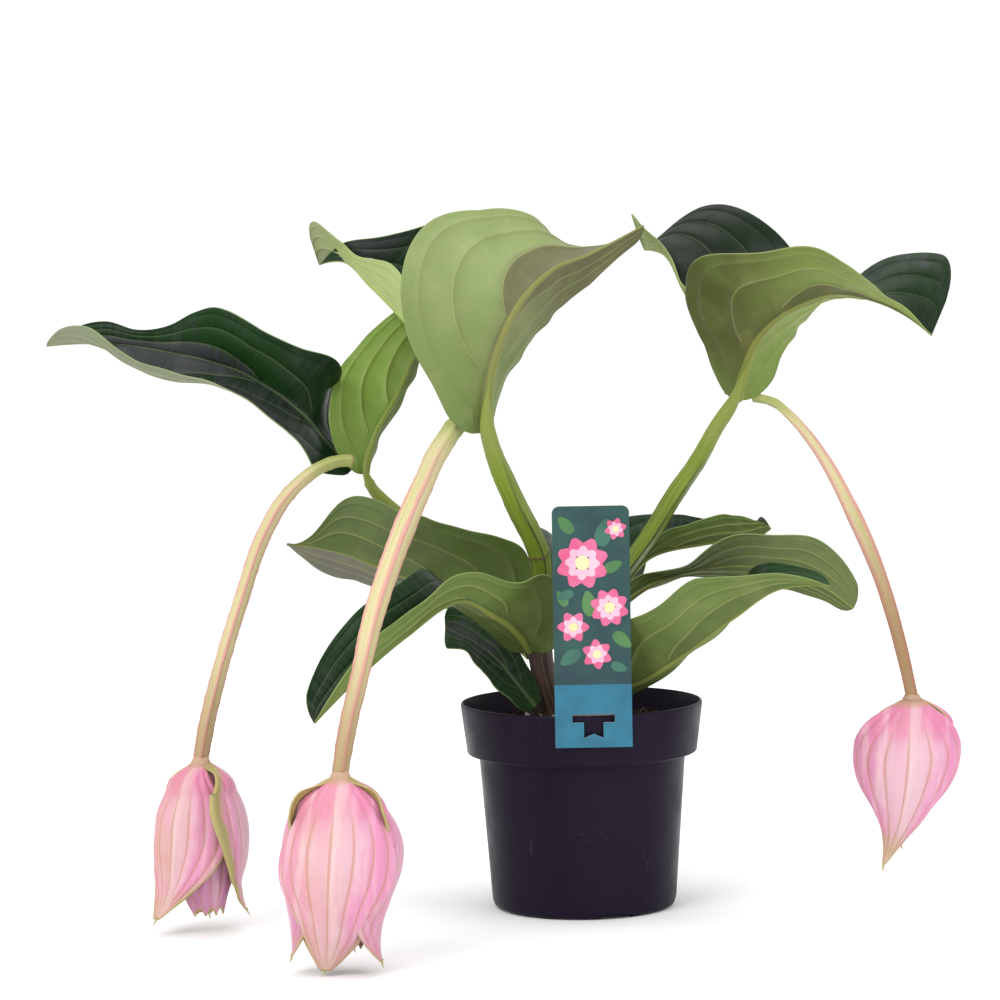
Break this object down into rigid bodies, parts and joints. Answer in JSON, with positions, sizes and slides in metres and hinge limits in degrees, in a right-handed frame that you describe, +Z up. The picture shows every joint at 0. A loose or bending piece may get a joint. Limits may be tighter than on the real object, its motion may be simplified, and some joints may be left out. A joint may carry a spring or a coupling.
{
  "type": "medinilla house plant in nursery pot",
  "caption": "Flowering medinilla with large ribbed leaves and pink hanging flower heads on long stalks, growing in a dark round nursery pot with a care label on its rim.",
  "frame": {"origin": "middle of the pot's base, on the surface that the pot stands on", "axes": "+Z up, the label faces -Y, and +X runs to the right as the label is seen"},
  "size_m": [0.6376, 0.4611, 0.4939],
  "materials": {
    "pot_plastic": "satin",
    "potting_soil": "rough and lumpy",
    "label_card": "gloss print",
    "stem_green": "satin",
    "stalk_pink": "satin",
    "leaf_green": "glossy above, matte below",
    "bract_pink": "silky",
    "bud_pink": "satin"
  },
  "bodies": {
    "root": {"pot": "pot_plastic", "soil": "potting_soil", "label": "label_card", "stem_middle": "stem_green", "stem_left": "stem_green", "stem_right": "stem_green", "stalk_middle": "stalk_pink", "stalk_left": "stalk_pink", "stalk_right": "stalk_pink", "leaf_middle_front": "leaf_green", "leaf_middle_back": "leaf_green", "leaf_left_long": "leaf_green", "leaf_left_upright": "leaf_green", "leaf_right_front": "leaf_green", "leaf_right_back": "leaf_green", "leaf_low_left_upper": "leaf_green", "leaf_low_left_long": "leaf_green", "leaf_low_left_small": "leaf_green", "leaf_low_right_upper": "leaf_green", "leaf_low_right_middle": "leaf_green", "leaf_low_right_near": "leaf_green", "leaf_low_rear": "leaf_green", "leaf_low_rear_left": "leaf_green", "bracts_middle": "bract_pink", "buds_middle": "bud_pink", "bracts_left": "bract_pink", "buds_left": "bud_pink", "bracts_right": "bract_pink", "buds_right": "bud_pink"}
  },
  "joints": []
}
